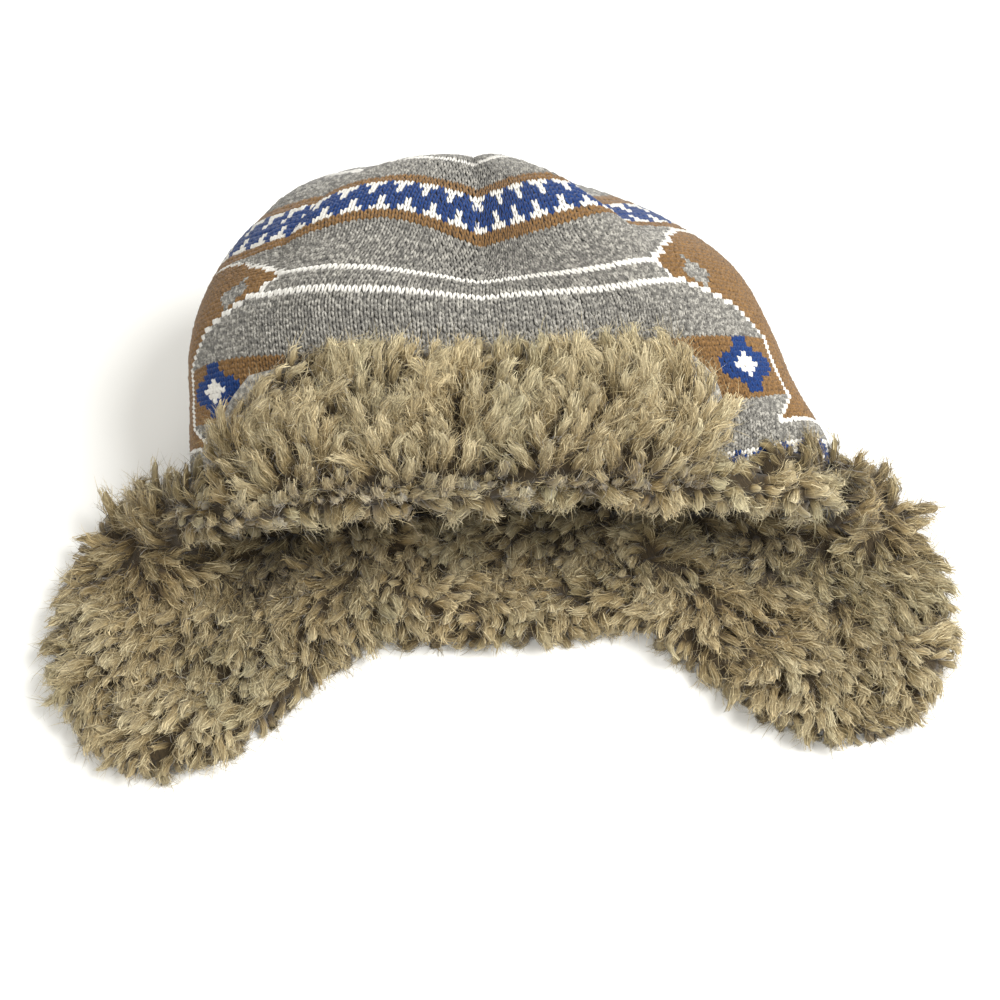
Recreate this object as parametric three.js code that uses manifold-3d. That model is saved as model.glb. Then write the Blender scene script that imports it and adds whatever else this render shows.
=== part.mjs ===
// A knit trapper hat, laid down on the back of its crown with both ear flaps fallen open.
// Millimetres, +Z up. The table is z = 0, +Y runs from the neck flap to the tip of the crown,
// and the forehead side faces up. Left and right are the wearer's: the left ear is at +X.
// A jacquard-knit outside is lined with deep shearling fleece, which faces out wherever a flap
// is turned back. Knit parts are walls 3 mm thick, and fleece is a pad with locks fused to it.
import * as THREE from "three";
import { mergeVertices } from "three/addons/utils/BufferGeometryUtils.js";
import Module from "manifold-3d";

const wasm = await Module();
wasm.setup();

// Driving dimensions
const KNIT = 3; // thickness of the knit fabric
const GAP = 0.35; // clearance between neighbouring pieces
const LINING = 9; // pile of the fleece inside the crown
const PILE = 10; // depth of a flap's fleece pad, under its locks
// Where the seams between the crown's six gores run, as a share of the way round from the
// centre front towards +X
const SEAMS = [0.018, 0.146, 0.333, 0.5, 0.667, 0.826, 1.018];

// The crown as rings from the rim (along 0) to the tip (along 1). back is the ring's lowest
// point, which the table flattens, and front its highest, on the forehead side. left and right
// are how far it spreads to each side, and lean how far it slumps towards -X for its height.
const CROWN_RINGS = [
  { along: 0.0, backY: 66, backZ: -9, frontY: 42, frontZ: 64, left: 136, right: 117, lean: 0.1 },
  { along: 0.18, backY: 86, backZ: -11, frontY: 62, frontZ: 84, left: 137, right: 116, lean: 0.1 },
  { along: 0.36, backY: 108, backZ: -11, frontY: 84, frontZ: 101, left: 127, right: 115, lean: 0.1 },
  { along: 0.54, backY: 134, backZ: -8, frontY: 110, frontZ: 113, left: 118, right: 113, lean: 0.1 },
  { along: 0.7, backY: 162, backZ: -1, frontY: 135, frontZ: 118, left: 105, right: 103, lean: 0.1 },
  { along: 0.83, backY: 184, backZ: 22, frontY: 156, frontZ: 114, left: 75, right: 86, lean: 0.08 },
  { along: 0.93, backY: 191, backZ: 58, frontY: 172, frontZ: 107, left: 30, right: 60, lean: 0.06 },
  { along: 1.0, backY: 182, backZ: 95, frontY: 182, frontZ: 95, left: 0, right: 0, lean: 0.03 },
];
const CROWN_GRID = { around: 30, along: 12 };

// Soft dents of the fabric: around is the share of the way round from the centre front
// towards +X, and depth is how far the fabric falls in.
const DENTS = [
  { name: "forehead crease", around: 0.0, along: 0.56, spanAround: 0.06, spanAlong: 0.035, depth: 2.5 },
  { name: "left gore fold", around: 0.165, along: 0.8, spanAround: 0.05, spanAlong: 0.14, depth: 7 },
  { name: "right gore fold", around: -0.165, along: 0.74, spanAround: 0.03, spanAlong: 0.12, depth: 2 },
];

// The visor, turned up against the forehead, and where its two sides run on the crown. Its
// corners round off towards the top.
const VISOR = { from: 0.066, to: 0.345 };
const VISOR_SIDES = [
  { up: 0.0, right: -0.189, left: 0.148 },
  { up: 0.45, right: -0.184, left: 0.153 },
  { up: 0.8, right: -0.17, left: 0.151 },
  { up: 1.0, right: -0.15, left: 0.139 },
];

// The fleece roll where the lining turns out over the front rim.
const RIM_ROLL = { middle: -0.018, halfAround: 0.19, radius: 8.5, along: 0.012, out: 2 };

// The fleece edge of the ear flaps, from the end of the visor round the tip to the neck: left is
// its x on the wearer's left, and right how far it reaches the other way on the right. lift is
// the height of the knit's underside there, and knit is how far the knit reaches, as a share of
// the way from the rim to the fleece edge.
const EAR_EDGE = [
  { round: 0.0, left: 113, right: 106, y: 63, lift: 44, knit: 1.0 },
  { round: 0.11, left: 139, right: 131, y: 76, lift: 27, knit: 1.1 },
  { round: 0.22, left: 159, right: 154, y: 74, lift: 10, knit: 1.06 },
  { round: 0.34, left: 172, right: 171, y: 49, lift: 1, knit: 0.96 },
  { round: 0.46, left: 176, right: 176, y: 12, lift: 0, knit: 0.94 },
  { round: 0.58, left: 168, right: 168, y: -18, lift: 0, knit: 0.94 },
  { round: 0.68, left: 150, right: 150, y: -38, lift: 0, knit: 0.94 },
  { round: 0.77, left: 129, right: 129, y: -42, lift: 0, knit: 0.94 },
  { round: 0.85, left: 106, right: 106, y: -33, lift: 0, knit: 0.93 },
  { round: 0.93, left: 78, right: 78, y: -9, lift: 0, knit: 0.92 },
  { round: 1.0, left: 50, right: 50, y: 16, lift: 0, knit: 0.9 },
];
const EAR_ROOT = { left: 0.206, right: 0.212, to: 0.385 }; // where a flap is sewn on, round the rim
const NECK_HEM = 8; // y of the neck flap's fleece edge at its middle
const FLEECE_REACH = 0.97; // a flap's pad ends at this share of the way, and its locks go on
const NECK_KNIT = 0.93; // the neck flap's knit ends at this share of the way to its fleece edge
const SEAM = 0.42; // the neck flap stops this much short of each ear flap

// Locks of wool on each fleece: rows and columns over the pad, their length, width and rise in
// millimetres, and how far they may lie from the grid.
const LOCKS = {
  visor: { rows: [0.24, 0.8], columns: 8, length: 18, width: 18, rise: 6, stray: 0.03 },
  ear: { rows: [0.52, 0.9], columns: 9, length: 16, width: 19, rise: 6, stray: 0.03 },
  neck: { rows: [0.4, 0.86], columns: 5, length: 16, width: 18, rise: 6, stray: 0.03 },
};
const RIPPLE = 1.6; // how far a pad's face swells and dips between its locks

const clamp = (x, low, high) => Math.min(high, Math.max(low, x));
const mix = (a, b, share) => a + (b - a) * share;
const vec = (x, y, z) => new THREE.Vector3(x, y, z);

// A smooth curve through one column of a table, by the value of its key column.
function read(table, key, column, at) {
  const last = table.length - 1;
  const x = clamp(at, table[0][key], table[last][key]);
  const i = clamp(table.findIndex((row) => row[key] >= x) - 1, 0, last - 1);
  const slope = (k) => {
    const a = table[Math.max(k - 1, 0)];
    const b = table[Math.min(k + 1, last)];
    return (b[column] - a[column]) / (b[key] - a[key]);
  };
  const step = table[i + 1][key] - table[i][key];
  const s = (x - table[i][key]) / step;
  const h = s * s * (3 - 2 * s);
  const bend = s * (1 - s) * step * ((1 - s) * slope(i) - s * slope(i + 1));
  return mix(table[i][column], table[i + 1][column], h) + bend;
}

// A repeatable wobble between -1 and 1, so that no two locks are quite alike.
function wobble(seed) {
  const x = Math.sin(seed * 12.9898) * 43758.5453;
  return 2 * (x - Math.floor(x)) - 1;
}

// One ring of the crown as points at even steps round it, from the centre front towards +X.
const RING_STEPS = 120;
const ringCache = new Map();
function ring(along) {
  const key = Math.round(along * 1e6);
  if (ringCache.has(key)) return ringCache.get(key);
  const value = Object.fromEntries(
    Object.keys(CROWN_RINGS[0]).map((column) => [column, read(CROWN_RINGS, "along", column, along)]),
  );
  const points = [];
  for (let i = 0; i <= RING_STEPS; i++) {
    const angle = (2 * Math.PI * i) / RING_STEPS;
    const rise = Math.pow(0.5 + 0.5 * Math.cos(angle), 1.12);
    const side = Math.sign(Math.sin(angle)) * Math.pow(Math.abs(Math.sin(angle)), 0.9);
    const z = Math.max(0, mix(value.backZ, value.frontZ, rise));
    const spread = side * (side > 0 ? value.left : value.right);
    points.push(vec(spread - value.lean * z, mix(value.backY, value.frontY, rise), z));
  }
  const lengths = [0];
  for (let i = 1; i <= RING_STEPS; i++) lengths.push(lengths[i - 1] + points[i].distanceTo(points[i - 1]));
  ringCache.set(key, { points, lengths });
  return ringCache.get(key);
}

// The crown's smooth form at a share of the way round and along, without seams or dents.
function crownForm(around, along) {
  if (along < 0) {
    const rim = crownForm(around, 0);
    return rim.addScaledVector(crownForm(around, 0.01).sub(rim), along / 0.01);
  }
  const { points, lengths } = ring(clamp(along, 0, 1));
  const [half, total] = [lengths[RING_STEPS / 2], lengths[RING_STEPS]];
  if (total < 1e-6) return points[0].clone();
  const turn = around - Math.floor(around);
  const want = turn < 0.5 ? 2 * turn * half : mix(half, total, 2 * turn - 1);
  const i = clamp(lengths.findIndex((x) => x >= want) - 1, 0, RING_STEPS - 1);
  const share = (want - lengths[i]) / Math.max(lengths[i + 1] - lengths[i], 1e-9);
  return points[i].clone().lerp(points[i + 1], share);
}

function crownNormal(around, along) {
  const h = 0.004;
  const t = clamp(along, 0.004, 0.985);
  const across = crownForm(around + h, t).sub(crownForm(around - h, t));
  const up = crownForm(around, t + h).sub(crownForm(around, t - h));
  return across.cross(up).normalize();
}

// How far the seams draw the fabric in and the gores puff out between them.
function relief(around, along) {
  const turn = around - Math.floor(around - SEAMS[0]);
  const gore = clamp(SEAMS.findIndex((seam) => seam > turn) - 1, 0, SEAMS.length - 2);
  const share = (turn - SEAMS[gore]) / (SEAMS[gore + 1] - SEAMS[gore]);
  const puff = Math.pow(Math.abs(Math.sin(Math.PI * share)), 0.7) - 0.6;
  const strength = 5 * Math.sin(Math.PI * clamp((along - 0.42) / 0.62, 0, 1));
  const fall = DENTS.reduce((sum, d) => {
    const a = (around - Math.round(around - d.around) - d.around) / d.spanAround;
    const b = (along - d.along) / d.spanAlong;
    return sum + d.depth * Math.exp(-a * a - b * b);
  }, 0);
  return puff * strength - fall;
}

// A point of the crown, out from the knit's outer face, and never lower than the floor given.
function crownPoint(around, along, out, floor = 0) {
  const p = crownForm(around, along);
  p.addScaledVector(crownNormal(around, along), out + (p.z > 0 ? relief(around, along) : 0));
  p.z = Math.max(p.z, floor);
  return p;
}

// A point inside the crown, in from the knit's outer face, with both sides kept clear of the
// sharp turn where the crown lies on the table.
function innerPoint(around, along, inset) {
  const p = crownPoint(around, along, -inset, inset);
  const [left, right, lean] = ["left", "right", "lean"].map((c) => read(CROWN_RINGS, "along", c, along));
  if (along < 0.75) p.x = clamp(p.x, inset - right - lean * p.z, left - inset - lean * p.z);
  return p;
}

// A closed body from its corners and faces, with corners that fall together joined.
function solid(positions, faces) {
  return joined(new Float32Array(positions.flatMap((p) => p.toArray())), faces);
}
function joined(corners, faces) {
  const loose = new THREE.BufferGeometry().setAttribute("position", new THREE.BufferAttribute(corners, 3));
  loose.setIndex(faces);
  const g = mergeVertices(loose, 2e-3);
  const kept = [];
  for (let i = 0; i < g.index.count; i += 3) {
    const [a, b, c] = [0, 1, 2].map((k) => g.index.getX(i + k));
    if (a !== b && b !== c && c !== a) kept.push(a, b, c);
  }
  return new wasm.Manifold(
    new wasm.Mesh({ numProp: 3, vertProperties: g.attributes.position.array, triVerts: new Uint32Array(kept) }),
  );
}

// A closed cap with a hollow: outer and inner skins that both end in a pole, joined at the rim.
function hollowCap(outer, inner, around, along) {
  const positions = [];
  const faces = [];
  const at = (skin, i, j) => skin * (around * along + 1) + (j === along ? around * along : j * around + (i % around));
  for (const skin of [outer, inner]) {
    for (let j = 0; j < along; j++) for (let i = 0; i < around; i++) positions.push(skin(i / around, j / along));
    positions.push(skin(0, 1));
  }
  const quad = (a, b, c, d) => faces.push(a, b, c, a, c, d);
  for (let i = 0; i < around; i++) {
    for (let j = 0; j < along - 1; j++) {
      quad(at(0, i, j), at(0, i + 1, j), at(0, i + 1, j + 1), at(0, i, j + 1));
      quad(at(1, i, j), at(1, i, j + 1), at(1, i + 1, j + 1), at(1, i + 1, j));
    }
    faces.push(at(0, i, along - 1), at(0, i + 1, along - 1), at(0, i, along));
    faces.push(at(1, i, along - 1), at(1, i, along), at(1, i + 1, along - 1));
    quad(at(0, i, 0), at(1, i, 0), at(1, i + 1, 0), at(0, i + 1, 0));
  }
  return solid(positions, faces);
}

// A closed sheet between a lower and an upper face, both functions of (u, v) from 0 to 1.
function sheet(lower, upper, across, along) {
  const positions = [];
  const faces = [];
  const at = (skin, i, j) => skin * (across + 1) * (along + 1) + j * (across + 1) + i;
  for (const skin of [lower, upper])
    for (let j = 0; j <= along; j++) for (let i = 0; i <= across; i++) positions.push(skin(i / across, j / along));
  const quad = (a, b, c, d) => faces.push(a, b, c, a, c, d);
  for (let i = 0; i < across; i++)
    for (let j = 0; j < along; j++) {
      quad(at(1, i, j), at(1, i + 1, j), at(1, i + 1, j + 1), at(1, i, j + 1));
      quad(at(0, i, j), at(0, i, j + 1), at(0, i + 1, j + 1), at(0, i + 1, j));
    }
  for (let i = 0; i < across; i++) {
    quad(at(0, i, 0), at(0, i + 1, 0), at(1, i + 1, 0), at(1, i, 0));
    quad(at(0, i + 1, along), at(0, i, along), at(1, i, along), at(1, i + 1, along));
  }
  for (let j = 0; j < along; j++) {
    quad(at(0, 0, j + 1), at(0, 0, j), at(1, 0, j), at(1, 0, j + 1));
    quad(at(0, across, j), at(0, across, j + 1), at(1, across, j + 1), at(1, across, j));
  }
  const made = solid(positions, faces);
  return made.volume() < 0 ? solid(positions, faces.reverse()) : made;
}

// One lock of wool: a bent tuft with four sides, rooted under the pad's face.
function lock(root, out, lay, { length, width, rise }) {
  const side = vec().crossVectors(lay, out).normalize();
  const sides = 4;
  const rings = [
    { forward: -0.1, up: -0.6, wide: 0.4, high: 0.4 },
    { forward: 0.4, up: 0.25, wide: 0.52, high: 0.75 },
  ];
  const positions = [];
  const faces = [];
  for (const r of rings)
    for (let k = 0; k < sides; k++) {
      const angle = (2 * Math.PI * k) / sides;
      const p = root.clone();
      p.addScaledVector(lay, length * (r.forward + 0.1 * Math.sin(angle)));
      p.addScaledVector(out, rise * (r.up + r.high * Math.sin(angle)));
      p.addScaledVector(side, width * r.wide * Math.cos(angle));
      positions.push(p);
    }
  positions.push(root.clone().addScaledVector(lay, length));
  const tip = positions.length - 1;
  for (let k = 0; k < sides; k++) {
    const next = (k + 1) % sides;
    for (let j = 0; j < rings.length - 1; j++) {
      const [a, b, c, d] = [j * sides + k, j * sides + next, (j + 1) * sides + next, (j + 1) * sides + k];
      faces.push(a, b, c, a, c, d);
    }
    faces.push((rings.length - 1) * sides + k, (rings.length - 1) * sides + next, tip);
  }
  for (let k = 1; k < sides - 1; k++) faces.push(0, k + 1, k);
  const made = solid(positions, faces);
  return made.volume() < 0 ? solid(positions, faces.reverse()) : made;
}

// Locks over a pad, whose face is a function of (u, v): each lies towards growing v.
function locksOver(face, { rows, columns, length, width, rise, stray }, seed) {
  const made = [];
  rows.forEach((row, j) => {
    for (let i = 0; i < columns; i++) {
      const n = seed + 31 * j + i;
      const u = clamp((i + 0.5 + 0.5 * (j % 2) - 0.25) / columns + stray * wobble(n), 0.02, 0.98);
      const v = row + stray * wobble(n + 7);
      const h = 0.01;
      const root = face(u, v);
      const along = face(u, v + h).sub(face(u, v - h)).normalize();
      const across = face(Math.min(u + h, 1), v).sub(face(Math.max(u - h, 0), v)).normalize();
      const out = vec().crossVectors(across, along).normalize();
      if (out.z < 0 && Math.abs(out.z) > 0.3) out.negate();
      const lay = along.addScaledVector(across, 0.25 * wobble(n + 3)).normalize();
      const size = 1 + 0.18 * wobble(n + 11);
      made.push(lock(root, out, lay, { length: size * length, width: size * width, rise: rise * size }));
    }
  });
  return made;
}

function mesh(name, made, material) {
  const m = made.getMesh();
  const g = new THREE.BufferGeometry();
  g.setAttribute("position", new THREE.BufferAttribute(new Float32Array(m.vertProperties), 3));
  g.setIndex(new THREE.BufferAttribute(new Uint32Array(m.triVerts), 1));
  g.computeVertexNormals();
  const out = new THREE.Mesh(g, material.clone());
  out.name = name;
  return out;
}

const largest = (made) => made.decompose().sort((a, b) => b.volume() - a.volume())[0];
function cut(made, ...rooms) {
  const rest = rooms.reduce((left, room) => left.subtract(room), made);
  const m = largest(rest).getMesh();
  return largest(joined(new Float32Array(m.vertProperties), Array.from(m.triVerts)));
}
const fuse = (pieces) => wasm.Manifold.union(pieces).simplify(0.02).trimByPlane([0, 0, 1], 0);
const ripple = (u, v, seed) => RIPPLE * (Math.sin(41 * u + 5 * v + seed) + 0.6 * Math.sin(23 * u - 17 * v + seed));

const KNIT_CLOTH = new THREE.MeshStandardMaterial({ color: "#9b9b9a", roughness: 0.95, metalness: 0 });
const FLEECE = new THREE.MeshStandardMaterial({ color: "#8c7f66", roughness: 1, metalness: 0 });

// The crown and its lining, and the room that both keep free of other pieces
const LINED = KNIT + GAP + LINING;
const crownShell = (out, inner, from) => {
  const skin = (offset) => (a, t) => (offset < 0 ? innerPoint(a, t || from, -offset) : crownPoint(a, t || from, offset));
  return hollowCap(skin(out), skin(inner), CROWN_GRID.around, CROWN_GRID.along);
};
const crownKnit = crownShell(0, -KNIT, 0);
const crownLining = crownShell(-KNIT - GAP, -LINED, 0);
const rimRoom = crownShell(GAP, -LINED - GAP, -0.003);
const crownRoom = hollowCap(
  (a, t) => crownPoint(a, t || -0.003, GAP),
  (a, t) => crownPoint(a, t || -0.003, 0).lerp(crownForm(0, t).lerp(crownForm(0.5, t), 0.5), 0.9),
  CROWN_GRID.around,
  CROWN_GRID.along,
);

// The roll of fleece round the front rim
function rollPoint(u, turn, radius, longer) {
  const around = RIM_ROLL.middle + (2 * u - 1) * (RIM_ROLL.halfAround + longer);
  const end = Math.sqrt(Math.max(0, 1 - Math.pow(2 * u - 1, 8)));
  const centre = crownPoint(around, RIM_ROLL.along, RIM_ROLL.out);
  const out = crownNormal(around, RIM_ROLL.along);
  const down = crownForm(around, 0).sub(crownForm(around, 0.02)).normalize();
  const r = radius * mix(0.55, 1, end);
  return centre.addScaledVector(out, r * Math.cos(turn)).addScaledVector(down, r * Math.sin(turn));
}
function rollBody(radius, longer = 0) {
  const [steps, sides] = [24, 10];
  const positions = [];
  const faces = [];
  for (let i = 0; i <= steps; i++)
    for (let k = 0; k < sides; k++) positions.push(rollPoint(i / steps, (2 * Math.PI * k) / sides, radius, longer));
  const at = (i, k) => i * sides + (k % sides);
  for (let i = 0; i < steps; i++)
    for (let k = 0; k < sides; k++) faces.push(at(i, k), at(i + 1, k), at(i + 1, k + 1), at(i, k), at(i + 1, k + 1), at(i, k + 1));
  for (let k = 1; k < sides - 1; k++) faces.push(at(0, 0), at(0, k), at(0, k + 1), at(steps, 0), at(steps, k + 1), at(steps, k));
  const made = solid(positions, faces);
  return made.volume() < 0 ? solid(positions, faces.reverse()) : made;
}

// The visor, as a share u across and v up it
function visorPoint(u, v, out) {
  const [right, left] = ["right", "left"].map((side) => read(VISOR_SIDES, "up", side, v));
  return crownPoint(mix(right, left, u), mix(VISOR.from, VISOR.to, v), out);
}
const visorTop = (u, v) => 1 - 0.75 * Math.pow(Math.abs(2 * u - 1), 10) - 0.55 * Math.pow(clamp(v, 0, 1), 10);
const visorBack = 2 * GAP;
const visorLow = visorBack + KNIT + 1.3 * GAP;
const visorKnit = sheet(
  (u, v) => visorPoint(u, v, visorBack),
  (u, v) => visorPoint(u, v, visorBack + KNIT),
  16,
  4,
);
const visorFace = (u, v) =>
  visorPoint(u, v, visorLow + (PILE + ripple(u, v, 0)) * Math.max(0.25, visorTop(u, v)));
const visorPad = sheet((u, v) => visorPoint(u, v, visorLow), visorFace, 16, 4);

// An ear flap, as a share u from the visor round to the neck, and v from the rim to its edge.
// side is 1 for the wearer's left and -1 for the right.
function earForm(side, u, v) {
  const near = clamp(u, 0, 1);
  if (u !== near) {
    const end = earForm(side, near, v);
    const step = end.clone().sub(earForm(side, near ? 0.98 : 0.02, v));
    return end.addScaledVector(step, Math.abs(u - near) / 0.02);
  }
  const from = side > 0 ? EAR_ROOT.left : EAR_ROOT.right;
  const root = crownPoint(side * mix(from, EAR_ROOT.to, u), -0.003, 0);
  const x = side * read(EAR_EDGE, "round", side > 0 ? "left" : "right", u);
  const y = read(EAR_EDGE, "round", "y", u);
  const lift = read(EAR_EDGE, "round", "lift", u);
  const bend = 2 - clamp(lift / 40, 0, 1);
  const drop = root.z * Math.pow(1 - clamp(v, 0, 1), bend) + lift * Math.pow(Math.max(v, 0), bend);
  return vec(mix(root.x, x, v), mix(root.y, y, v), Math.max(0, drop));
}
function earPoint(side, u, v, height) {
  const h = 0.02;
  const [uMid, vMid] = [clamp(u, h, 1 - h), Math.max(v, h)];
  const round = earForm(side, uMid + h, vMid).sub(earForm(side, uMid - h, vMid));
  const out = earForm(side, uMid, vMid + h).sub(earForm(side, uMid, vMid - h));
  const up = out.cross(round).normalize().multiplyScalar(-side * height);
  return earForm(side, u, v).add(up);
}
// A sheet over the flap. With over, it has the same folds and goes on that much past three edges.
function earSheet(side, low, high, reach, over = 0) {
  const [across, along] = [18, 5];
  const wide = (u) => clamp((u * (across + 2) - 1) / across, -over, 1 + over);
  const deep = (v) => clamp((v * (along + 1) - 1) / along, -over, 1);
  const at = (height) => (u, v) => {
    const [a, b] = over ? [wide(u), deep(v)] : [u, v];
    return earPoint(side, a, b * (b > 0 ? reach(a) : 1), height(a, b));
  };
  return over ? sheet(at(low), at(high), across + 2, along + 1) : sheet(at(low), at(high), across, along);
}

// The neck flap, as a share u from the left across to the right, and v from the rim to its hem
function neckPoint(u, v, height, seam = SEAM) {
  const root = crownPoint(mix(EAR_ROOT.to, 1 - EAR_ROOT.to, u), -0.003, 0);
  const s = 1 - 2 * u;
  const end = EAR_EDGE[EAR_EDGE.length - 1];
  const y = mix(NECK_HEM, end.y, s * s);
  return vec(mix(root.x, s * end.left, v) - s * seam, mix(root.y, y, v), height);
}

const hat = new THREE.Group();
const pieces = {};
pieces.crown_knit = [crownKnit, KNIT_CLOTH];
pieces.crown_lining = [crownLining, FLEECE];

const visorLocks = locksOver(visorFace, LOCKS.visor, 1);
const visorWide = (out) => (u, v) => visorPoint(mix(-0.01, 1.01, u), mix(-0.01, 1.02, v), out);
const visorRoom = sheet(visorWide(-6), visorWide(visorLow - 0.02), 16, 4);
const roll = rollBody(RIM_ROLL.radius);
const rollRoom = rollBody(RIM_ROLL.radius + GAP, 0.0013);
pieces.visor_knit = [cut(visorKnit, rollRoom), KNIT_CLOTH];
pieces.visor_fleece = [cut(fuse([visorPad, ...visorLocks]), visorRoom, crownRoom, rollRoom), FLEECE];
pieces.rim_fleece = [cut(roll, rimRoom), FLEECE];

// The neck flap, and the upright column of space over and past it
const neckLow = KNIT + GAP;
const neckKnit = sheet((u, v) => neckPoint(u, NECK_KNIT * v, 0), (u, v) => neckPoint(u, NECK_KNIT * v, KNIT), 10, 4);
const neckFace = (u, v) =>
  neckPoint(u, FLEECE_REACH * v, neckLow + (PILE + ripple(u, v, 4)) * (1 - 0.5 * Math.pow(clamp(v, 0, 1), 8)));
const neckPad = sheet((u, v) => neckPoint(u, FLEECE_REACH * v, KNIT / 2), neckFace, 10, 4);
const neckColumn = (seam) => sheet((u, v) => neckPoint(u, 1.7 * v, -9, seam), (u, v) => neckPoint(u, 1.7 * v, 60, seam), 10, 4);
const neckFleece = fuse([neckPad, ...locksOver(neckFace, LOCKS.neck, 600)]).intersect(neckColumn(SEAM - 0.01));
const neckBed = (height) => (u, v) => neckPoint(u, v ? (NECK_KNIT + 0.008) * v : -0.01, height, 0);
const neckRoom = sheet(neckBed(-1), neckBed(neckLow), 10, 4);
pieces.neck_flap_knit = [neckKnit, KNIT_CLOTH];
pieces.neck_flap_fleece = [cut(neckFleece, neckRoom, rimRoom), FLEECE];

// The ear flaps
const knitReach = (u) => read(EAR_EDGE, "round", "knit", u);
const earTop = (u, v) => {
  const swell = mix(0.5, 1, clamp(v / 0.3, 0, 1)) - 0.6 * Math.pow(clamp(v, 0, 1), 8);
  return KNIT + GAP + (PILE + ripple(u, v, 2)) * swell;
};
for (const [side, name] of [[1, "left"], [-1, "right"]]) {
  const knit = cut(earSheet(side, () => 0, () => KNIT, knitReach), crownRoom, rollRoom);
  const pad = earSheet(side, () => KNIT / 2, earTop, () => FLEECE_REACH);
  const face = (u, v) => earPoint(side, u, v * FLEECE_REACH, earTop(u, v));
  const locks = locksOver(face, LOCKS.ear, side > 0 ? 200 : 400);
  const room = earSheet(side, () => -1, () => KNIT + 1.5 * GAP, (u) => knitReach(u) + 0.005, 0.012);
  const fleece = cut(fuse([pad, ...locks]), room, neckColumn(0.05), crownRoom, rollRoom);
  pieces[name + "_ear_flap_knit"] = [knit, KNIT_CLOTH];
  pieces[name + "_ear_flap_fleece"] = [fleece, FLEECE];
}

for (const [name, [made, material]] of Object.entries(pieces)) hat.add(mesh(name, made, material));

// The origin is the middle of the bounding box, on the table.
const box = new THREE.Box3().setFromObject(hat);
hat.position.set(-(box.min.x + box.max.x) / 2, -(box.min.y + box.max.y) / 2, -box.min.z);

export default hat;
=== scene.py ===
"""A knit trapper hat, laid on the back of its crown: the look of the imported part.

The crown gets every stitch of its jacquard knit, and each fleece gets thousands of curled
locks of wool, all as geometry. Shapes are worked out in millimetres in the CAD source's own
frame, and add_piece() puts them in the part's frame, in metres.
"""
import math

import bpy
import numpy as np
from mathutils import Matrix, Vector


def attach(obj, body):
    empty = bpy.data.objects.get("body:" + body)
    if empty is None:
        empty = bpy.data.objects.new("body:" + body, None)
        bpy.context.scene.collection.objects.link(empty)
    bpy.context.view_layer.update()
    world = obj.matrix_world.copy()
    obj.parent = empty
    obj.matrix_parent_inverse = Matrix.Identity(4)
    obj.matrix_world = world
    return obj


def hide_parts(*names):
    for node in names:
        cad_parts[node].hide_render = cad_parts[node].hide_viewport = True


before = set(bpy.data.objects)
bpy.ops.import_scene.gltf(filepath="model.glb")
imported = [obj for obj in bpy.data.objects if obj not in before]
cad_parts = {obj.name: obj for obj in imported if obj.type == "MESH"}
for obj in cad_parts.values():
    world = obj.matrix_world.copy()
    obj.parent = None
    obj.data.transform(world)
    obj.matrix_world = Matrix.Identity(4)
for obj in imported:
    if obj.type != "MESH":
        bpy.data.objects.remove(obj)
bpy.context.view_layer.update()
MM = 0.001
SOURCE_TO_PART = np.array([1.163, -74.09, 0.0])
rng = np.random.default_rng(7)

# The part's own shape, as in its CAD source (millimetres)
KNIT = 3.0
GAP = 0.35
SEAMS = np.array([0.018, 0.146, 0.333, 0.5, 0.667, 0.87, 1.018])
GORES = len(SEAMS) - 1
RING_COLUMNS = ("along", "back_y", "back_z", "front_y", "front_z", "left", "right", "lean")
CROWN_RINGS = np.array([
    (0.0, 66, -9, 42, 64, 136, 117, 0.1),
    (0.18, 86, -11, 62, 84, 137, 116, 0.1),
    (0.36, 108, -11, 84, 101, 127, 115, 0.1),
    (0.54, 134, -8, 110, 113, 118, 113, 0.1),
    (0.7, 162, -1, 135, 118, 105, 103, 0.1),
    (0.83, 184, 22, 156, 114, 75, 86, 0.08),
    (0.93, 191, 58, 172, 107, 30, 60, 0.06),
    (1.0, 182, 95, 182, 95, 0, 0, 0.03),
], float)
DENTS = (  # around, along, span around, span along, depth
    (0.0, 0.56, 0.06, 0.035, 2.5),
    (0.165, 0.8, 0.05, 0.14, 7.0),
    (-0.165, 0.74, 0.03, 0.12, 2.0),
)
VISOR_FROM, VISOR_TO = 0.066, 0.345
VISOR_COLUMNS = ("up", "right", "left")
VISOR_SIDES = np.array([
    (0.0, -0.189, 0.148), (0.45, -0.184, 0.153), (0.8, -0.17, 0.151), (1.0, -0.15, 0.139),
])
ROLL_ENDS, ROLL_RADIUS = (-0.232, 0.235), 8.5
EAR_COLUMNS = ("round", "left", "right", "y", "lift", "knit")
EAR_EDGE = np.array([
    (-0.2, 92, 96, 55, 58, 1.0),
    (0.0, 113, 106, 63, 44, 1.0),
    (0.11, 139, 131, 76, 27, 1.1),
    (0.22, 159, 154, 74, 10, 1.06),
    (0.34, 172, 171, 49, 1, 0.96),
    (0.46, 176, 176, 12, 0, 0.94),
    (0.58, 168, 168, -18, 0, 0.94),
    (0.68, 150, 150, -38, 0, 0.94),
    (0.77, 129, 129, -42, 0, 0.94),
    (0.85, 106, 106, -33, 0, 0.93),
    (0.93, 78, 78, -9, 0, 0.92),
    (1.0, 50, 50, 16, 0, 0.9),
], float)
EAR_ROOT = {1: 0.206, -1: 0.212}
EAR_TO = 0.385
NECK_HEM = 8.0
NECK_KNIT = 0.915

# The knit's gauge, and where its panels narrow
STITCH = 2.7
ROW = 2.2
STITCHES = 216
ROWS = 78
GORE_HALF = STITCHES // GORES // 2
DART_ROW = 43
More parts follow.
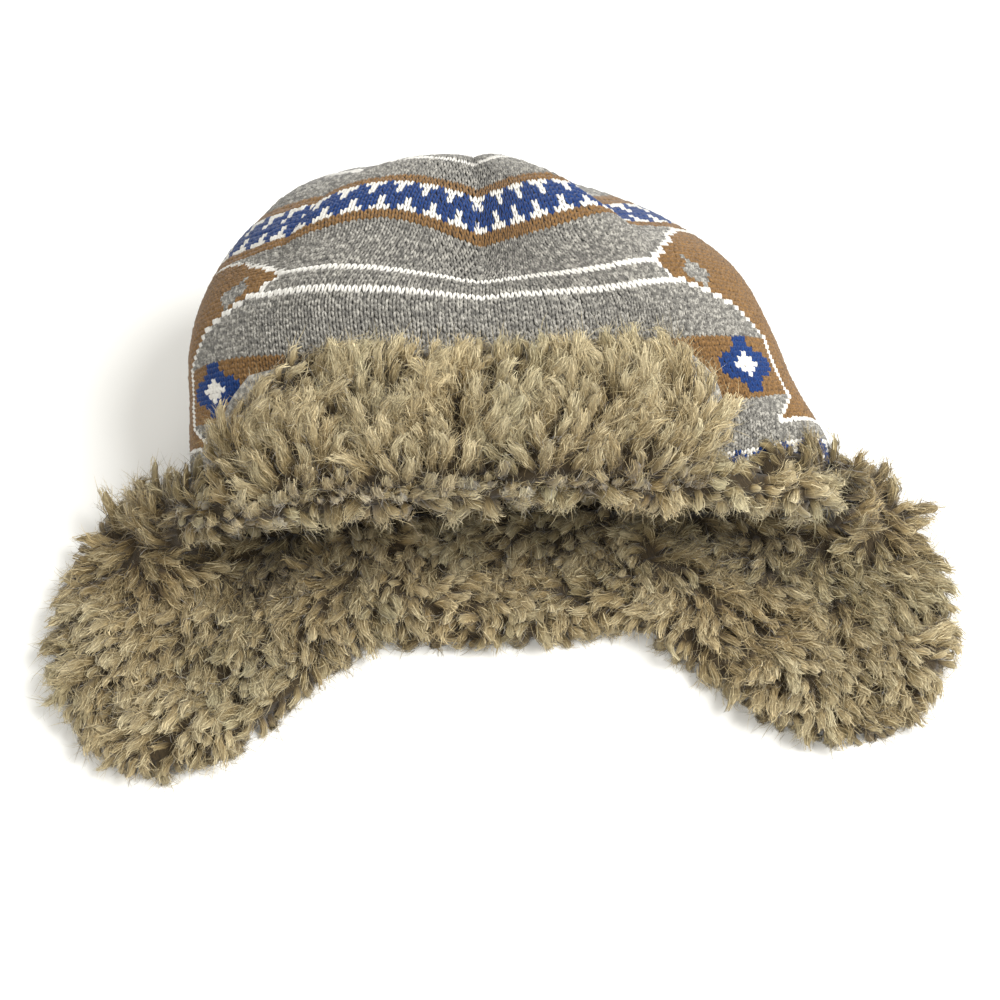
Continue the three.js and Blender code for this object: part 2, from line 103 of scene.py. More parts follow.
# How the knit lies on the crown, by its share of the way round. low and high say where the
# lower and upper rows have it, and the rows how far up that row is drawn from its even place.
DRAPE_COLUMNS = ("around", "low", "high", "row_12", "row_41", "row_54", "row_63", "row_78")
DRAPE_ROWS = (12, 41, 54, 63.5, 78)
DRAPE_RIGHT = np.array([
    (-0.5, -0.5, -0.5, 0.06, 0.05, 0.03, 0.01, 0),
    (-0.333, -0.33, -0.325, 0.1, 0.08, 0.02, 0.01, 0),
    (-0.25, -0.243, -0.22, 0.09, 0.08, 0.0, 0.0, 0),
    (-0.167, -0.163, -0.126, 0.005, 0.055, -0.013, 0.004, 0),
    (-0.083, -0.078, -0.047, -0.075, 0.006, -0.019, -0.008, 0),
    (0.0, 0.01, 0.0155, 0.0, -0.047, -0.098, -0.054, 0),
], float)
DRAPE_LEFT = np.array([
    (0.0, 0.01, 0.0155, 0.0, -0.047, -0.098, -0.054, 0),
    (0.083, 0.093, 0.064, -0.03, -0.018, -0.054, -0.014, 0),
    (0.167, 0.163, 0.148, 0.005, 0.055, 0.06, 0.027, 0),
    (0.25, 0.24, 0.235, 0.095, 0.09, 0.07, 0.03, 0),
    (0.333, 0.325, 0.325, 0.11, 0.09, 0.05, 0.02, 0),
    (0.5, 0.5, 0.5, 0.06, 0.05, 0.03, 0.01, 0),
], float)

# What a stitch is knitted in
GREY, WHITE, BLUE, BROWN = range(4)


def mix(a, b, share):
    return a + (b - a) * share


def smoothstep(x):
    x = np.clip(x, 0.0, 1.0)
    return x * x * (3 - 2 * x)


def unit(v):
    return v / np.maximum(np.linalg.norm(v, axis=-1, keepdims=True), 1e-9)


def read(table, columns, column, at):
    """A smooth curve through one column of a table, by its first column."""
    keys, values = table[:, 0], table[:, columns.index(column)]
    last = len(keys) - 1
    at = np.clip(at, keys[0], keys[-1])
    i = np.clip(np.searchsorted(keys, at, side="left") - 1, 0, last - 1)
    low, high = np.maximum(np.arange(last + 1) - 1, 0), np.minimum(np.arange(last + 1) + 1, last)
    slope = (values[high] - values[low]) / (keys[high] - keys[low])
    step = keys[i + 1] - keys[i]
    s = (at - keys[i]) / step
    straight = mix(values[i], values[i + 1], s * s * (3 - 2 * s))
    return straight + s * (1 - s) * step * ((1 - s) * slope[i] - s * slope[i + 1])


def crown_ring(along, steps):
    """One ring of the crown, at even steps round each half from the centre front towards +X."""
    back_y, back_z, front_y, front_z, left, right, lean = (
        read(CROWN_RINGS, RING_COLUMNS, c, along) for c in RING_COLUMNS[1:]
    )
    angle = np.linspace(0, 2 * np.pi, 721)
    rise = np.power(0.5 + 0.5 * np.cos(angle), 1.12)
    side = np.sign(np.sin(angle)) * np.power(np.abs(np.sin(angle)), 0.9)
    z = np.maximum(0, mix(back_z, front_z, rise))
    x = side * np.where(side > 0, left, right) - lean * z
    points = np.stack([x, mix(back_y, front_y, rise), z], axis=1)
    length = np.concatenate([[0], np.cumsum(np.linalg.norm(np.diff(points, axis=0), axis=1))])
    half = steps // 2
    want = np.concatenate([
        np.linspace(0, length[360], half + 1),
        np.linspace(length[360], length[-1], half + 1)[1:],
    ])
    return np.stack([np.interp(want, length, points[:, k]) for k in range(3)], axis=1)


AROUND_STEPS, ALONG_STEPS = 480, 300
CROWN_FORM = np.stack([crown_ring(t, AROUND_STEPS) for t in np.linspace(0, 1, ALONG_STEPS + 1)])
PERIMETER = np.linalg.norm(np.diff(CROWN_FORM, axis=1), axis=2).sum(axis=1)


def crown_normals():
    lap = CROWN_FORM[:, :-1]
    across = np.roll(lap, -2, axis=1) - np.roll(lap, 2, axis=1)
    up = np.gradient(lap, axis=0)
    normal = unit(np.cross(across, up))
    normal[:2] = normal[2]
    normal[-5:] = normal[-5]
    return np.concatenate([normal, normal[:, :1]], axis=1)


CROWN_NORMAL = crown_normals()


def over_crown(grid, around, along):
    """Reads a grid over the crown between its points."""
    a = np.mod(around, 1.0) * AROUND_STEPS
    t = np.clip(along, 0, 1) * ALONG_STEPS
    i = np.minimum(a.astype(int), AROUND_STEPS - 1)
    j = np.minimum(t.astype(int), ALONG_STEPS - 1)
    a, t = (a - i)[..., None], (t - j)[..., None]
    return mix(mix(grid[j, i], grid[j, i + 1], a), mix(grid[j + 1, i], grid[j + 1, i + 1], a), t)


def crown_relief(around, along):
    """How far the seams draw the fabric in and the gores puff out between them."""
    turn = around - np.floor(around - SEAMS[0])
    gore = np.clip(np.searchsorted(SEAMS, turn, side="left") - 1, 0, len(SEAMS) - 2)
    share = (turn - SEAMS[gore]) / (SEAMS[gore + 1] - SEAMS[gore])
    puff = np.power(np.abs(np.sin(np.pi * share)), 0.7) - 0.6
    depth = puff * 5 * np.sin(np.pi * np.clip((along - 0.42) / 0.62, 0, 1))
    for at, up, span_around, span_along, fall in DENTS:
        a = (around - np.round(around - at) - at) / span_around
        depth = depth - fall * np.exp(-a * a - ((along - up) / span_along) ** 2)
    return depth


def crown_point(around, along, out=0.0, floor=0.0):
    """A point of the crown, out from the knit's outer face."""
    around, along = np.broadcast_arrays(np.asarray(around, float), np.asarray(along, float))
    p = over_crown(CROWN_FORM, around, along)
    past = np.minimum(along, 0)[..., None] / 0.01
    p = p + past * (over_crown(CROWN_FORM, around, np.full_like(along, 0.01)) - p)
    lift = out + np.where(p[..., 2] > 0, crown_relief(around, along), 0)
    p = p + over_crown(CROWN_NORMAL, around, along) * lift[..., None]
    p[..., 2] = np.maximum(p[..., 2], floor)
    return p


def inner_point(around, along, inset):
    """A point inside the crown, kept clear of the sharp turn where it lies on the table."""
    p = crown_point(around, along, -inset, inset)
    left = read(CROWN_RINGS, RING_COLUMNS, "left", along) - inset
    right = read(CROWN_RINGS, RING_COLUMNS, "right", along) - inset
    lean = read(CROWN_RINGS, RING_COLUMNS, "lean", along) * p[..., 2]
    held = np.clip(p[..., 0], -right - lean, left - lean)
    p[..., 0] = np.where(along < 0.75, held, p[..., 0])
    return p


def visor_point(u, v, out):
    right, left = (read(VISOR_SIDES, VISOR_COLUMNS, c, v) for c in ("right", "left"))
    return crown_point(mix(right, left, u), mix(VISOR_FROM, VISOR_TO, v), out)


def roll_point(around, turn, radius):
    """The roll over the rim, at a share of the way round the head and a turn about its core."""
    rim = np.full_like(around, 0.012)
    centre = crown_point(around, rim, 2.0)
    out = over_crown(CROWN_NORMAL, around, rim)
    down = unit(crown_point(around, rim - 0.012) - crown_point(around, rim + 0.008))
    way = out * np.cos(turn)[..., None] + down * np.sin(turn)[..., None]
    return centre + np.asarray(radius)[..., None] * way


def ear_form(side, u, v):
    """An ear flap's underside, u from the visor round to the neck and v from rim to edge."""
    root = crown_point(side * mix(EAR_ROOT[side], EAR_TO, u), np.full_like(u, -0.003))
    columns = ("left" if side > 0 else "right", "y", "lift")
    x, y, lift = (read(EAR_EDGE, EAR_COLUMNS, c, u) for c in columns)
    bend = 2 - np.clip(lift / 40, 0, 1)
    fall = root[..., 2] * np.power(1 - np.clip(v, 0, 1), bend) + lift * np.power(np.maximum(v, 0), bend)
    reach = [mix(root[..., 0], side * x, v), mix(root[..., 1], y, v), np.maximum(0, fall)]
    return np.stack(reach, axis=-1)


def ear_point(side, u, v, height):
    h = 0.02
    near_u, near_v = np.clip(u, h, 1 - h), np.maximum(v, h)
    across = ear_form(side, near_u + h, near_v) - ear_form(side, near_u - h, near_v)
    out = ear_form(side, near_u, near_v + h) - ear_form(side, near_u, near_v - h)
    up = unit(np.cross(out, across)) * -side
    return ear_form(side, u, v) + up * np.asarray(height)[..., None]


def neck_point(u, v, height):
    root = crown_point(mix(EAR_TO, 1 - EAR_TO, u), np.full_like(u, -0.003))
    s = 1 - 2 * u
    y = mix(NECK_HEM, EAR_EDGE[-1, 3], s * s)
    x = mix(root[..., 0], s * EAR_EDGE[-1, 1], v) - s * 0.42
    return np.stack([x, mix(root[..., 1], y, v), np.broadcast_to(height, x.shape)], axis=-1)


def add_piece(name, points, faces, materials, slots=None, uvs=None, normals=None, replaces=()):
    """A mesh that rides on the hat: points in millimetres, faces all of one size."""
    mesh = bpy.data.meshes.new(name)
    mesh.vertices.add(len(points))
    mesh.vertices.foreach_set("co", ((points + SOURCE_TO_PART) * MM).astype(np.float32).ravel())
    mesh.loops.add(faces.size)
    mesh.loops.foreach_set("vertex_index", faces.astype(np.int32).ravel())
    mesh.polygons.add(len(faces))
    mesh.polygons.foreach_set("loop_start", np.arange(0, faces.size, faces.shape[1], dtype=np.int32))
    if slots is not None:
        mesh.polygons.foreach_set("material_index", slots.astype(np.int32))
    for material in materials:
        mesh.materials.append(material)
    mesh.update(calc_edges=True)
    mesh.shade_smooth()
    for layer_name, uv in (uvs or {}).items():
        layer = mesh.uv_layers.new(name=layer_name)
        layer.data.foreach_set("uv", uv[faces.ravel()].astype(np.float32).ravel())
    if normals is not None:
        mesh.normals_split_custom_set_from_vertices(normals.tolist())
    piece = bpy.data.objects.new(name, mesh)
    bpy.context.scene.collection.objects.link(piece)
    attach(piece, "root")
    if replaces:
        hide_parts(*replaces)
    return piece


def grid_faces(across, along, first=0, loop=False):
    """Quads over a grid kept row by row, with across + 1 points a row, or across in a loop."""
    wide = across if loop else across + 1
    i, j = np.meshgrid(np.arange(across), np.arange(along))
    a, b = j * wide + i, j * wide + (i + 1) % wide
    return first + np.stack([a, b, b + wide, a + wide], axis=-1).reshape(-1, 4)


def closed_sheet(lower, upper):
    """Points and faces of a closed body between two grids of points, rows first."""
    along, across = upper.shape[0] - 1, upper.shape[1] - 1
    size = upper.shape[0] * upper.shape[1]
    index = np.arange(size).reshape(along + 1, across + 1)
    edge = np.concatenate([index[0, :-1], index[:-1, -1], index[-1, :0:-1], index[:0:-1, 0]])
    after = np.roll(edge, -1)
    faces = [
        grid_faces(across, along, size),
        grid_faces(across, along)[:, ::-1],
        np.stack([edge, after, after + size, edge + size], axis=-1),
    ]
    return np.concatenate([lower.reshape(-1, 3), upper.reshape(-1, 3)]), np.concatenate(faces)


def linear(colour):
    """An sRGB hex colour as the linear colour that a shader wants."""
    parts = [int(colour[i : i + 2], 16) / 255 for i in (1, 3, 5)]
    return [c / 12.92 if c <= 0.04045 else ((c + 0.055) / 1.055) ** 2.4 for c in parts] + [1.0]


def node(tree, kind, settings=None, inputs=None):
    """Adds a node. inputs are values, or the output sockets to link from."""
    made = tree.nodes.new(kind)
    for key, value in (settings or {}).items():
        setattr(made, key, value)
    for key, value in (inputs or {}).items():
        if isinstance(value, bpy.types.NodeSocket):
            tree.links.new(value, made.inputs[key])
        else:
            made.inputs[key].default_value = value
    return made


def colour_ramp(tree, factor, stops):
    made = node(tree, "ShaderNodeValToRGB", inputs={"Fac": factor})
    ramp = made.color_ramp
    while len(ramp.elements) < len(stops):
        ramp.elements.new(0.5)
    for element, (place, colour) in zip(ramp.elements, stops):
        element.position, element.color = place, linear(colour)
    return made.outputs["Color"]


def wool_yarn(name, stops, fleck=1.1):
    """Spun wool yarn, matt and a little hairy. fleck is the size in mm of its shade changes."""
    material = bpy.data.materials.new(name)
    material.use_nodes = True
    tree = material.node_tree
    shader = tree.nodes["Principled BSDF"]
    place = node(tree, "ShaderNodeTexCoord").outputs["Object"]
    blotch = node(tree, "ShaderNodeTexNoise", inputs={
        "Vector": place, "Scale": 1 / (fleck * MM), "Detail": 3.0, "Roughness": 0.65})
    fibre = node(tree, "ShaderNodeTexNoise", inputs={
        "Vector": place, "Scale": 1 / (0.35 * MM), "Detail": 2.0})
    shade = node(tree, "ShaderNodeMath", {"operation": "MULTIPLY_ADD"}, {
        0: fibre.outputs["Fac"], 1: 0.35, 2: -0.175})
    both = node(tree, "ShaderNodeMath", {"operation": "ADD", "use_clamp": True}, {
        0: blotch.outputs["Fac"], 1: shade.outputs[0]})
    tree.links.new(colour_ramp(tree, both.outputs[0], stops), shader.inputs["Base Color"])
    bump = node(tree, "ShaderNodeBump", inputs={
        "Height": fibre.outputs["Fac"], "Strength": 0.5, "Distance": 0.25 * MM})
    tree.links.new(bump.outputs["Normal"], shader.inputs["Normal"])
    shader.inputs["Roughness"].default_value = 0.92
    shader.inputs["Specular IOR Level"].default_value = 0.2
    shader.inputs["Sheen Weight"].default_value = 0.25
    shader.inputs["Sheen Roughness"].default_value = 0.6
    return material


def fleece_wool(name, shade_stops, tints):
    """Curly shearling wool. Of its two UV maps, the one for tint and shade holds a tint and how light the
    wool is painted, dark at roots, in crevices and under locks as painted shade, and wool_fibres the
    millimetres across and along the fibres."""
    material = bpy.data.materials.new(name)
    material.use_nodes = True
    tree = material.node_tree
    shader = tree.nodes["Principled BSDF"]
    depth_map = node(tree, "ShaderNodeUVMap", {"uv_map": "wool_depth"})
    wool = node(tree, "ShaderNodeSeparateXYZ", inputs={0: depth_map.outputs["UV"]})
    fibre_map = node(tree, "ShaderNodeUVMap", {"uv_map": "wool_fibres"})
    drawn_out = node(tree, "ShaderNodeVectorMath", {"operation": "MULTIPLY"}, {
        0: fibre_map.outputs["UV"], 1: (1 / 0.35, 1 / 4.0, 0.0)})
    streak = node(tree, "ShaderNodeTexNoise", inputs={
        "Vector": drawn_out.outputs[0], "Scale": 1.0, "Detail": 3.0, "Roughness": 0.7})
    shades = colour_ramp(tree, streak.outputs["Fac"], [(0.3, "#767676"), (0.7, "#ffffff")])
    whole = colour_ramp(tree, wool.outputs["Y"], shade_stops)
    for layer in (colour_ramp(tree, wool.outputs["X"], tints), shades):
        whole = node(tree, "ShaderNodeMix", {"data_type": "RGBA", "blend_type": "MULTIPLY"}, {
            "Factor": 1.0, "A": whole, "B": layer}).outputs["Result"]
    tree.links.new(whole, shader.inputs["Base Color"])
    bump = node(tree, "ShaderNodeBump", inputs={
        "Height": streak.outputs["Fac"], "Strength": 0.6, "Distance": 0.3 * MM})
    tree.links.new(bump.outputs["Normal"], shader.inputs["Normal"])
    shader.inputs["Roughness"].default_value = 0.85
    shader.inputs["Specular IOR Level"].default_value = 0.2
    shader.inputs["Sheen Weight"].default_value = 0.35
    shader.inputs["Sheen Roughness"].default_value = 0.5
    return material


GREY_MARL = wool_yarn("grey_marl_wool", [(0.34, "#595753"), (0.5, "#817e77"), (0.66, "#bebab0")], 1.7)
WHITE_WOOL = wool_yarn("white_wool", [(0.3, "#cfcbc2"), (0.6, "#ece9e2")])
BLUE_WOOL = wool_yarn("royal_blue_wool", [(0.3, "#042052"), (0.7, "#114183")])
BROWN_WOOL = wool_yarn("tan_brown_wool", [(0.35, "#5e4527"), (0.65, "#957041")])
# A dark grey for the crown's wall under the stitches: painted shade in the gaps between them
PAINTED_SHADE_WOOL = wool_yarn("painted_shade_between_stitches", [(0.3, "#403f3d"), (0.7, "#5b5956")])
# The fleece's colours run from the dark painted shade of roots and crevices up to light tips
FLEECE = fleece_wool(
    "shearling_wool",
    shade_stops=[(0.0, "#211a10"), (0.25, "#5f5036"), (0.5, "#ad9b73"), (1.0, "#fff3d0")],
    tints=[(0.0, "#e8e8dc"), (0.5, "#fffaee"), (1.0, "#fff3dc")],
)
YARNS = [GREY_MARL, WHITE_WOOL, BLUE_WOOL, BROWN_WOOL]

# The jacquard chart, of a band's rosette and of the motif at each side of the head
ROSETTE = [
    "....BBB....",
    "....BBB....",
    "...BBBBB...",
    ".BBBBWBBBB.",
    "BBBBWWWBBBB",
    "BBBWWWWWBBB",
    "BBBBWWWBBBB",
    ".BBBBWBBBB.",
    "...BBBBB...",
    "....BBB....",
    "....BBB....",
]
ROSETTE_CENTRES = (17, 41, 67, 91)
ROSETTE_ROW = 18
WHITE_ROWS = (39, 43, 71)
UPPER_ZIGZAG = 56
ZIGZAG_ROWS = 7
# Half the motif's width in stitches, from its lowest row up
MOTIF_ROW = 11
SIDE_MOTIF = dict(enumerate((
    [9, 9, 8, 7, 6, 5] + [5] * 13 + [6, 7, 8, 9, 10, 12, 14, 16, 18] + [20, 21, 21, 22, 22]
    + [21, 19, 17, 16, 14, 12, 11, 10, 8, 6]
), MOTIF_ROW))


def zigzag(column, row, low):
    """Blue between white teeth that stand four stitches apart, and others that hang between them."""
    step = row - low
    blue = [(0,), (3, 0, 1), (3, 0, 1), (0, 1, 2, 3), (1, 2, 3), (1, 2, 3), (2,)][step]
    return BLUE if column % 4 in blue else WHITE


def yarn(gore, column, row, halves):
    """The yarn of one stitch: column counts from its gore's middle, row from the rim."""
    c = int(math.floor(column))
    middle = (gore + 0.5) * STITCHES / GORES
    across = abs(((middle + column + STITCHES / 2) % STITCHES) - STITCHES / 2)
    if gore in (1, 4):
        from_side = abs(column)
    else:
        towards = column * (1 if gore in (0, 3) else -1)
        from_side = halves[1] + halves[gore] - towards if towards > 0 else 99
    wide = SIDE_MOTIF.get(row, 0)
    if wide and from_side < wide + 1:
        narrow = min(SIDE_MOTIF.get(row - 1, 0), SIDE_MOTIF.get(row + 1, 0))
        if from_side >= min(wide, narrow + 1) or row == MOTIF_ROW:
            return WHITE
        lozenge = 3.2 - 0.9 * abs(row - 40.5) - 1.3 * abs(from_side - 15.5)
        return GREY if lozenge > 0 else BROWN
    if ROSETTE_ROW - 1 <= row < ROSETTE_ROW + len(ROSETTE):
        for centre in ROSETTE_CENTRES:
            d = int(round(across - centre - 0.5 + 5))
            if row >= ROSETTE_ROW and 0 <= d < len(ROSETTE[0]):
                return {"B": BLUE, "W": WHITE, ".": BROWN}[ROSETTE[row - ROSETTE_ROW][d]]
        return BROWN
    if 0 <= row < ZIGZAG_ROWS:
        return zigzag(c, row, 0)
    if row in WHITE_ROWS:
        return WHITE
    if UPPER_ZIGZAG <= row < UPPER_ZIGZAG + ZIGZAG_ROWS:
        return zigzag(c, row, UPPER_ZIGZAG)
    return BROWN if UPPER_ZIGZAG - 2 <= row < UPPER_ZIGZAG + ZIGZAG_ROWS + 2 else GREY


def drape(around, row):
    """Where a place in the knit lies on the crown, as (around, along)."""
    around, row = np.broadcast_arrays(np.asarray(around, float), np.asarray(row, float))
    turned = around - np.round(around)

    def value(column):
        sides = [read(table, DRAPE_COLUMNS, column, turned) for table in (DRAPE_RIGHT, DRAPE_LEFT)]
        return np.where(turned < 0, *sides)

    place = mix(value("low"), value("high"), smoothstep((row - 36) / 18))
    lifts = [value(c) for c in DRAPE_COLUMNS[3:]]
    drawn = lifts[0]
    for k in range(1, len(lifts)):
        share = np.clip((row - DRAPE_ROWS[k - 1]) / (DRAPE_ROWS[k] - DRAPE_ROWS[k - 1]), 0, 1)
        drawn = drawn + (lifts[k] - lifts[k - 1]) * share
    return place, np.clip(row / ROWS + drawn, -0.01, 0.998)


def half_gore(gore, row):
    """Stitches from a gore's middle to its seam, on a row."""
    gore, row = np.broadcast_arrays(np.asarray(gore, float), np.asarray(row, float))
    (start, _), (end, _), (_, mid_t) = (drape((gore + k) / GORES, row) for k in (1e-4, 1 - 1e-4, 0.5))
    lap = np.interp(mid_t, np.linspace(0, 1, ALONG_STEPS + 1), PERIMETER)
    wide = np.mod(end - start, 1.0) * lap / 2
    tapered = np.maximum(GORE_HALF - (row - DART_ROW) / 3, wide / 2.75)
    return np.where(row <= DART_ROW, GORE_HALF, np.minimum(np.minimum(GORE_HALF, tapered), wide / 2.1))


# One leg of a stitch, as (share along it, offset across it in mm, height in mm)
LEG = np.array([
    (-0.1, 0.0, -0.2),
    (0.22, -0.5, -0.1), (0.24, 0.04, 0.75), (0.26, 0.56, -0.1),
    (0.66, -0.62, -0.1), (0.7, 0.0, 0.95), (0.74, 0.58, -0.1),
    (1.08, 0.0, -0.3),
])
LEG_FACES = np.array([
    (0, 2, 1), (0, 3, 2), (1, 2, 5), (1, 5, 4), (2, 3, 6), (2, 6, 5), (4, 5, 7), (5, 6, 7),
])


def stitches():
    """(gore, column, row, yarn, half its gore) of every stitch of the crown."""
    found = []
    for row in range(-9, ROWS):
        halves = half_gore(np.arange(GORES), row).tolist()
        for gore in range(GORES):
            for column in np.arange(-GORE_HALF + 0.5, GORE_HALF):
                if abs(column) < halves[gore] + 0.2:
                    found.append((gore, column, row, yarn(gore, column, row, halves), halves[gore]))
    return np.array(found)


# What the visor and the roll cover for good, as around from and to, along from and to
HIDDEN = ((-0.165, 0.13, 0.085, 0.3), (-0.22, 0.22, -1.0, 0.035))


def knit_crown():
    """Both legs of every stitch that can be seen, as two pieces."""
    chart = stitches()
    gore, column, row = (chart[:, k, None] for k in range(3))
    stray = rng.normal(0, 0.05, (len(chart), 1))
    points, sides = [], []
    for way in (-1, 1):
        run = np.array([way * 0.28 * STITCH, 1.35 * ROW])
        cross = np.array([run[1], -run[0]]) / np.linalg.norm(run)
        x, y = (run[k] * LEG[:, 0] + cross[k] * LEG[:, 1] * way for k in (0, 1))
        c = column + way * 0.11 + x / STITCH + stray * 0.6
        r = row + y / ROW + stray
        share = np.clip(c / chart[:, 4, None], -1.03, 1.03)
        around, along = drape((gore + 0.5 + 0.5 * share) / GORES, r)
        points.append(crown_point(around, along, LEG[:, 2] + 2 * stray))
        sides.append(LEG_FACES if way > 0 else LEG_FACES[:, ::-1])
    points = np.concatenate(points, axis=1)
    faces = np.concatenate([sides[0], sides[1] + len(LEG)])
    around, along = (x[:, 0] for x in drape((gore + 0.5) / GORES + column / STITCHES, row))
    turned = around - np.round(around)
    shown = along > 0.004
    for right, left, low, high in HIDDEN:
        shown &= ~((turned > right) & (turned < left) & (along > low) & (along < high))
    front = np.isin(chart[:, 0], (0, 1, 5)) | ((chart[:, 0] == 4) & (chart[:, 1] > 0))
    made = []
    for name, kept in (("crown_stitches_front", front & shown), ("crown_stitches_back", ~front & shown)):
        count = int(kept.sum())
        all_faces = (np.arange(count)[:, None, None] * 2 * len(LEG) + faces).reshape(-1, 3)
        yarns = np.repeat(chart[kept, 3], len(faces))
        made.append(add_piece(name, points[kept].reshape(-1, 3), all_faces, YARNS, yarns))
    return made


def crown_shell(outer, inner, across, along):
    """A wall of the crown between two offsets, closed at its rim, with a hole at neither end."""
    t = np.power(np.linspace(0, 1, along + 1), 0.9)[:, None] * 0.999
    a = np.linspace(0, 1, across, endpoint=False)[None, :]
    skins = [outer(a, t), inner(a, t)]
    size = across * (along + 1)
    i = np.arange(across)
    rim = np.stack([i, i + size, (i + 1) % across + size, (i + 1) % across], axis=-1)
    faces = [grid_faces(across, along, loop=True), grid_faces(across, along, size, True)[:, ::-1], rim]
    return np.concatenate([s.reshape(-1, 3) for s in skins]), np.concatenate(faces)


# How wide a fleece's lumps are in mm, and how high they stand as a share of its thickness
LUMP_SIZE = 26
LUMP_SHARE = 0.26


class Pelt:
    """A fleece's face as a grid of points over a lower grid, with the way that its wool lies.
    growth and shade are shares: how long its wool is, and how much painted shade darkens it."""

    def __init__(self, points, lower, comb, growth=1.0, shade=1.0):
        self.lower = lower
        across, along = unit(np.gradient(points, axis=1)), unit(np.gradient(points, axis=0))
        self.normals = unit(np.cross(across, along))
        if np.sum(self.normals * (points - lower)) < 0:
            self.normals = -self.normals
        self.lumps = wander(points, LUMP_SIZE)
        thick = np.linalg.norm(points - lower, axis=-1)
        self.points = points + self.normals * (LUMP_SHARE * thick * self.lumps)[..., None]
        way = comb(across, along)
        self.comb = unit(way - self.normals * np.sum(way * self.normals, axis=-1, keepdims=True))
        self.growth, self.shade = (np.broadcast_to(x, points.shape[:2]) for x in (growth, shade))
        diagonals = points[1:, 1:] - points[:-1, :-1], points[:-1, 1:] - points[1:, :-1]
        self.areas = (0.5 * np.linalg.norm(np.cross(*diagonals), axis=2)).ravel()

    def pick(self, count):
        """A reader of the pelt's grids at random places, as likely everywhere."""
        cell = rng.choice(len(self.areas), count, p=self.areas / self.areas.sum())
        j, i = np.divmod(cell, self.points.shape[1] - 1)
        a, b = rng.random(count), rng.random(count)

        def at(grid):
            x, y = (v.reshape(-1, *[1] * (grid.ndim - 2)) for v in (a, b))
            return mix(mix(grid[j, i], grid[j, i + 1], x), mix(grid[j + 1, i], grid[j + 1, i + 1], x), y)

        return at


def spaced(points, lay, apart, stretch):
    """Which points to keep so that no two are closer than apart, or stretch times that along lay."""
    kept = []
    for i, p in enumerate(points):
        gap = points[kept] - p
        squash = (1 - 1 / stretch**2) * (gap @ lay[i]) ** 2
        if not kept or np.min(np.sum(gap * gap, axis=1) - squash) > apart * apart:
            kept.append(i)
    return np.array(kept)


def wander(points, size):
    """A smooth value, mostly between -1 and 1, that changes over about size mm."""
    total = 0
    for _ in range(4):
        way = unit(rng.normal(0, 1, 3)) * rng.uniform(0.7, 1.4) * 2 * np.pi / size
        total = total + np.sin(points @ way + rng.uniform(0, 2 * np.pi))
    return total / 2


class Locks:
    """Curled locks rooted all over a pelt, each swelling from its root to a soft blunt tip.
    All sizes are in mm, stretch is how much sparser they are along their lay, and stray is
    how far their ways differ, in radians."""

    def __init__(self, pelt, apart, stretch, length, width, rise, stray):
        at = pelt.pick(9000)
        points, comb, up = at(pelt.points), unit(at(pelt.comb)), unit(at(pelt.normals))
        kept = spaced(points, comb, apart, stretch)
        self.root, comb, self.up = points[kept], comb[kept], up[kept]
        self.count = len(kept)
        turn = stray * (0.8 * wander(self.root, 34) + 0.45 * rng.normal(0, 1, self.count))[:, None]
        beside = unit(np.cross(comb, self.up))
        self.fore = unit(comb * np.cos(turn) + beside * np.sin(turn))
        self.side = unit(np.cross(self.fore, self.up))
        growth = at(pelt.growth)[kept]
        size = np.clip(rng.normal(1, 0.2, self.count), 0.6, 1.5) * growth
        self.length = length * size * rng.uniform(0.8, 1.2, self.count)
        self.width = width * np.sqrt(size) * rng.uniform(0.8, 1.2, self.count)
        self.rise = rise * rng.uniform(0.45, 1.4, self.count)
        self.hook = rng.normal(0.02, 0.22, self.count) - 2 * (1 - growth)
        self.bend = rng.normal(0, 0.3, self.count)
        self.phase = rng.uniform(0, 2 * np.pi, self.count)
        self.tint = np.clip(0.5 + 0.2 * wander(self.root, 50) + rng.normal(0, 0.12, self.count), 0, 1)
        # Painted light and shade over a random tone: locks that rise higher or sit on raised lumps are
        # lighter, and the pelt's shade darkens them
        tone_and_shade = 0.88 + 0.2 * (self.rise / rise - 0.9) + 0.14 * at(pelt.lumps)[kept]
        self.tone_and_shade = np.clip(tone_and_shade + rng.normal(0, 0.07, self.count), 0.5, 1.1) * at(pelt.shade)[kept]

    def place(self, lock, along, around, out, blunt=0.0):
        """Points on locks, along from 0 to 1 and around in radians from their tops, at out
        times their half width, with the way out of the lock there. blunt keeps the tip open."""
        long, phase = self.length[lock], self.phase[lock]
        near = np.clip(along, 0, 1)
        up = self.rise[lock] * (1 - np.power(1 - near, 2.2)) + 0.35 * self.hook[lock] * long * along**3
        slope = self.rise[lock] * 2.2 * np.power(1 - near, 1.2) / long + self.hook[lock] * along**2
        aside = 0.5 * self.bend[lock] * long * along**2
        aside = aside + 0.4 * np.sin(phase + along * long * 0.75) * smoothstep(2 * along)
        fore, rise, side = self.fore[lock], self.up[lock], self.side[lock]
        axis = self.root[lock] + fore * (long * (along - 0.08 * along**2))[..., None]
        axis = axis + rise * (up - 0.8)[..., None] + side * aside[..., None]
        over = unit(rise - fore * slope[..., None])
        round_tip = np.power(np.maximum(1 - near**5, 0.0), 0.6)
        full = np.maximum((0.8 + 0.45 * near) * round_tip, blunt) + 0.03
        ridges = 1 + 0.12 * np.cos(2 * around + phase + 3 * along)
        ridges = ridges + 0.1 * np.cos(phase + along * long * 1.4)
        half = (self.width[lock] * full * ridges * out)[..., None]
        cos, sin = np.cos(around)[..., None], np.sin(around)[..., None]
        return axis + half * (0.8 * over * cos + side * sin), unit(over * cos + 0.8 * side * sin)

    def depth(self, lock, along, around):
        """How light the wool is painted there: darker towards its root and on a lock's underside than its
        top, as painted shade.
        """
        lit = 0.16 + 0.8 * np.power(np.clip(along, 0, 1), 0.7)
        return self.tone_and_shade[lock] * lit * (0.86 + 0.14 * np.cos(around))


